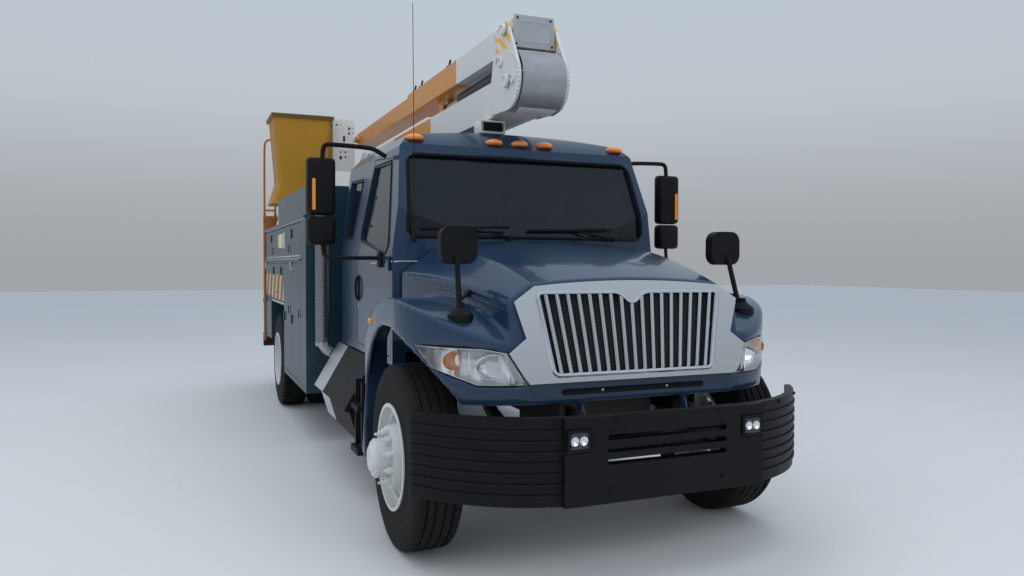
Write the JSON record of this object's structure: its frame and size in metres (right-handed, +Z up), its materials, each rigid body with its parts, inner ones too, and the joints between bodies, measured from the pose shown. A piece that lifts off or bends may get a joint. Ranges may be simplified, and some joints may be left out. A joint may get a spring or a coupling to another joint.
{
  "type": "bucket truck",
  "caption": "Bonneted bucket truck with an extended cab, a service body with side lockers and a folding lift boom that carries a work bucket at the rear.",
  "frame": {"origin": "on the ground under the centre of the bounding box", "axes": "+X towards the truck's left, -Y towards its front, +Z up"},
  "size_m": [2.954, 7.8, 3.44],
  "materials": {
    "cab_paint": "gloss",
    "body_paint": "gloss",
    "black_paint": "satin",
    "frame_paint": "satin",
    "white_paint": "gloss",
    "boom_paint": "gloss",
    "ladder_paint": "satin",
    "bucket_plastic": "satin",
    "chrome": "polished",
    "aluminium": "brushed",
    "steel": "brushed",
    "tyre": "matt",
    "glass": "clear",
    "lamp_glass": "clear",
    "amber": "gloss",
    "black_plastic": "matt",
    "cab_trim": "matt",
    "cast_iron": "matt"
  },
  "bodies": {
    "chassis": {"chassis_frame": "frame_paint", "front_axle": "frame_paint", "rear_axle": "frame_paint", "engine_and_driveline": "cast_iron", "front_bumper": "black_plastic", "cab_shell": "cab_paint", "cab_glazing": "glass", "cab_interior": "cab_trim", "roof_lamps": "amber", "exhaust_stack": "steel", "battery_box": "aluminium", "fuel_tank": "aluminium", "body_left": "body_paint", "body_right": "body_paint", "body_deck": "black_paint", "ladder": "ladder_paint", "pedestal": "white_paint"},
    "hood": {"hood": "cab_paint", "grille": "chrome", "headlamps": "lamp_glass", "hood_mirrors": "black_plastic"},
    "turret": {"turret": "white_paint"},
    "lower_boom": {"lower_boom": "boom_paint"},
    "levelling_link": {"levelling_link": "white_paint"},
    "elbow": {"elbow": "white_paint"},
    "upper_boom": {"upper_boom": "boom_paint"},
    "inner_boom": {"inner_boom": "white_paint"},
    "platform": {"platform_bracket": "white_paint", "bucket": "bucket_plastic"},
    "lift_barrel": {"lift_barrel": "black_paint"},
    "lift_rod": {"lift_rod": "steel"},
    "elbow_barrel": {"elbow_barrel": "black_paint"},
    "elbow_rod": {"elbow_rod": "steel"},
    "door_left": {"door_left": "cab_paint", "door_glass_left": "glass", "mirror_left": "black_plastic"},
    "knuckle_left": {"knuckle_left": "frame_paint"},
    "wheel_front_left": {"tyre_front_left": "tyre", "wheel_front_left": "white_paint"},
    "wheels_rear_left": {"tyres_rear_left": "tyre", "wheels_rear_left": "white_paint"},
    "locker_front_left": {"locker_front_left": "body_paint"},
    "locker_middle_left": {"locker_middle_left": "body_paint"},
    "locker_wheel_left": {"locker_wheel_left": "body_paint"},
    "locker_rear_left": {"locker_rear_left": "body_paint"},
    "locker_long_left": {"locker_long_left": "body_paint"},
    "door_right": {"door_right": "cab_paint", "door_glass_right": "glass", "mirror_right": "black_plastic"},
    "knuckle_right": {"knuckle_right": "frame_paint"},
    "wheel_front_right": {"tyre_front_right": "tyre", "wheel_front_right": "white_paint"},
    "wheels_rear_right": {"tyres_rear_right": "tyre", "wheels_rear_right": "white_paint"},
    "locker_front_right": {"locker_front_right": "body_paint"},
    "locker_middle_right": {"locker_middle_right": "body_paint"},
    "locker_wheel_right": {"locker_wheel_right": "body_paint"},
    "locker_rear_right": {"locker_rear_right": "body_paint"},
    "locker_long_right": {"locker_long_right": "body_paint"}
  },
  "joints": [
    {"name": "steer_right", "type": "hinge", "parent": "chassis", "child": "knuckle_right", "pos_m": [-0.88, -2.87, 0.525], "axis": [0, 0, 1], "range_deg": [-35, 35]},
    {"name": "spin_front_right", "type": "hinge", "parent": "knuckle_right", "child": "wheel_front_right", "pos_m": [-1.03, -2.87, 0.525], "axis": [1, 0, 0], "continuous": true},
    {"name": "spin_rear_right", "type": "hinge", "parent": "chassis", "child": "wheels_rear_right", "pos_m": [-0.915, 2.21, 0.525], "axis": [1, 0, 0], "continuous": true},
    {"name": "door_right_swing", "type": "hinge", "parent": "chassis", "child": "door_right", "pos_m": [-0.9944, -2.125, 1.6], "axis": [0, 0, 1], "range_deg": [0, 65]},
    {"name": "locker_front_right_swing", "type": "hinge", "parent": "chassis", "child": "locker_front_right", "pos_m": [-1.22, 0.345, 1], "axis": [0, 0, 1], "range_deg": [0, 90]},
    {"name": "locker_middle_right_swing", "type": "hinge", "parent": "chassis", "child": "locker_middle_right", "pos_m": [-1.22, 1.031, 1], "axis": [0, 0, 1], "range_deg": [0, 90]},
    {"name": "locker_wheel_right_drop", "type": "hinge", "parent": "chassis", "child": "locker_wheel_right", "pos_m": [-1.22, 2.13, 1.2], "axis": [0, -1, 0], "range_deg": [0, 90]},
    {"name": "locker_rear_right_swing", "type": "hinge", "parent": "chassis", "child": "locker_rear_right", "pos_m": [-1.22, 2.863, 1], "axis": [0, 0, 1], "range_deg": [0, 90]},
    {"name": "locker_long_right_drop", "type": "hinge", "parent": "chassis", "child": "locker_long_right", "pos_m": [-1.22, 2.13, 1.68], "axis": [0, -1, 0], "range_deg": [0, 90]},
    {"name": "steer_left", "type": "hinge", "parent": "chassis", "child": "knuckle_left", "pos_m": [0.88, -2.87, 0.525], "axis": [0, 0, 1], "range_deg": [-35, 35]},
    {"name": "spin_front_left", "type": "hinge", "parent": "knuckle_left", "child": "wheel_front_left", "pos_m": [1.03, -2.87, 0.525], "axis": [1, 0, 0], "continuous": true},
    {"name": "spin_rear_left", "type": "hinge", "parent": "chassis", "child": "wheels_rear_left", "pos_m": [0.915, 2.21, 0.525], "axis": [1, 0, 0], "continuous": true},
    {"name": "door_left_swing", "type": "hinge", "parent": "chassis", "child": "door_left", "pos_m": [0.9944, -2.125, 1.6], "axis": [0, 0, -1], "range_deg": [0, 65]},
    {"name": "locker_front_left_swing", "type": "hinge", "parent": "chassis", "child": "locker_front_left", "pos_m": [1.22, 0.345, 1], "axis": [0, 0, -1], "range_deg": [0, 90]},
    {"name": "locker_middle_left_swing", "type": "hinge", "parent": "chassis", "child": "locker_middle_left", "pos_m": [1.22, 1.031, 1], "axis": [0, 0, -1], "range_deg": [0, 90]},
    {"name": "locker_wheel_left_drop", "type": "hinge", "parent": "chassis", "child": "locker_wheel_left", "pos_m": [1.22, 2.13, 1.2], "axis": [0, 1, 0], "range_deg": [0, 90]},
    {"name": "locker_rear_left_swing", "type": "hinge", "parent": "chassis", "child": "locker_rear_left", "pos_m": [1.22, 2.863, 1], "axis": [0, 0, -1], "range_deg": [0, 90]},
    {"name": "locker_long_left_drop", "type": "hinge", "parent": "chassis", "child": "locker_long_left", "pos_m": [1.22, 2.13, 1.68], "axis": [0, 1, 0], "range_deg": [0, 90]},
    {"name": "hood_tilt", "type": "hinge", "parent": "chassis", "child": "hood", "pos_m": [0, -3.57, 0.8], "axis": [1, 0, 0], "range_deg": [0, 60]},
    {"name": "turret_slew", "type": "hinge", "parent": "chassis", "child": "turret", "pos_m": [0, 2.21, 2], "axis": [0, 0, 1], "range_deg": [-180, 180]},
    {"name": "lower_lift", "type": "hinge", "parent": "turret", "child": "lower_boom", "pos_m": [0, 2.33, 2.865], "axis": [-1, 0, 0], "range_deg": [0, 80]},
    {"name": "elbow_level", "type": "hinge", "parent": "lower_boom", "child": "elbow", "pos_m": [0, -2.205, 2.865], "axis": [-1, 0, 0], "range_deg": [-80.1, 0]},
    {"name": "link_swing", "type": "hinge", "parent": "turret", "child": "levelling_link", "pos_m": [0, 2.642, 2.73], "axis": [-1, 0, 0], "range_deg": [0, 80.1]},
    {"name": "lift_barrel_swing", "type": "hinge", "parent": "turret", "child": "lift_barrel", "pos_m": [0, 2.08, 2.28], "axis": [-1, 0, 0], "range_deg": [0, 68.4]},
    {"name": "lift_rod_slide", "type": "slide", "parent": "lift_barrel", "child": "lift_rod", "axis": [0, -0.9648, 0.263], "range_m": [0, 0.738]},
    {"name": "upper_lift", "type": "hinge", "parent": "elbow", "child": "upper_boom", "pos_m": [0, -2.15, 3.225], "axis": [1, 0, 0], "range_deg": [0, 80]},
    {"name": "elbow_barrel_swing", "type": "hinge", "parent": "elbow", "child": "elbow_barrel", "pos_m": [0, -2, 3.055], "axis": [1, 0, 0], "range_deg": [0, 80.4]},
    {"name": "elbow_rod_slide", "type": "slide", "parent": "elbow_barrel", "child": "elbow_rod", "axis": [0, 0.9999, -0.0146], "range_m": [0, 0.292]},
    {"name": "boom_extend", "type": "slide", "parent": "upper_boom", "child": "inner_boom", "axis": [0, 1, 0], "range_m": [0, 2]},
    {"name": "platform_level", "type": "hinge", "parent": "inner_boom", "child": "platform", "pos_m": [0, 2.98, 3.21], "axis": [1, 0, 0], "range_deg": [-80.1, 0]}
  ],
  "couplings": [
    {"joint": "steer_left", "follows": "steer_right", "ratio": 1},
    {"joint": "elbow_level", "follows": "lower_lift", "ratio": -1},
    {"joint": "link_swing", "follows": "lower_lift", "ratio": 1},
    {"joint": "lift_barrel_swing", "follows": "lower_lift", "ratio": 0.8533},
    {"joint": "lift_rod_slide", "follows": "lower_lift", "m_per_rad": 0.5281},
    {"joint": "elbow_barrel_swing", "follows": "upper_lift", "ratio": 1.0041},
    {"joint": "elbow_rod_slide", "follows": "upper_lift", "m_per_rad": 0.2086},
    {"joint": "platform_level", "follows": "upper_lift", "ratio": -1}
  ]
}
